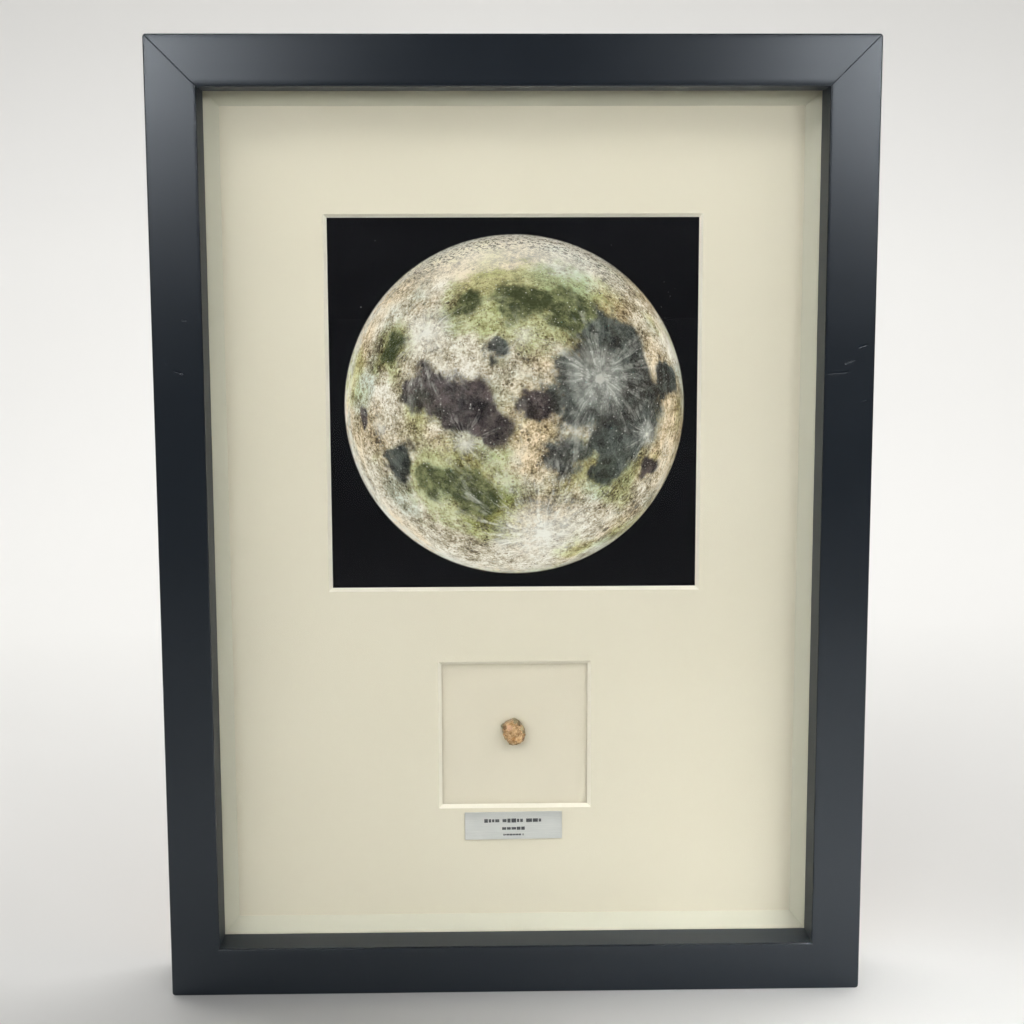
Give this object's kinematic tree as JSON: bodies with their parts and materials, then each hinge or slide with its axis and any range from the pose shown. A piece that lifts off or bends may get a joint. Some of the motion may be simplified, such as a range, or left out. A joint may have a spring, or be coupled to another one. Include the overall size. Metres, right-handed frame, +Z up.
{
  "type": "framed lunar meteorite display",
  "caption": "Deep black box frame with a glazed front and a windowed cream mat, a moon print above and a small tan lunar meteorite on a board below.",
  "frame": {"origin": "middle of the underside of the object's box, at the foot of the standing frame", "axes": "+Z up along the frame's height, -Y out of the glass towards the viewer, +X to the viewer's right"},
  "size_m": [0.24, 0.0346, 0.326],
  "materials": {
    "rail_paint": "black satin paint on wood",
    "glazing": "clear float glass",
    "mat_paper": "matt cream mount board with a paler core",
    "liner_paper": "matt cream board",
    "print_paper": "semi-matt colour print",
    "board_paper": "matt cream board",
    "fibreboard": "plain medium density fibreboard",
    "label_metal": "pale brushed silver",
    "stone": "rough tan breccia with brown veins and a grey-green rim",
    "fixings": "zinc plated steel"
  },
  "bodies": {
    "root": {"rail_top": "rail_paint", "rail_bottom": "rail_paint", "rail_left": "rail_paint", "rail_right": "rail_paint", "glass_pane": "glazing", "liner_top": "liner_paper", "liner_bottom": "liner_paper", "liner_left": "liner_paper", "liner_right": "liner_paper", "mat_board": "mat_paper", "moon_print": "print_paper", "backing_board": "board_paper", "meteorite": "stone", "label_plate": "label_metal", "back_panel": "fibreboard", "point_left_1": "fixings", "point_left_2": "fixings", "point_left_3": "fixings", "point_right_1": "fixings", "point_right_2": "fixings", "point_right_3": "fixings", "point_bottom_1": "fixings", "point_bottom_2": "fixings", "point_top_1": "fixings", "point_top_2": "fixings", "sawtooth_hanger": "fixings", "hanger_screw_left": "fixings", "hanger_screw_right": "fixings"}
  },
  "joints": []
}
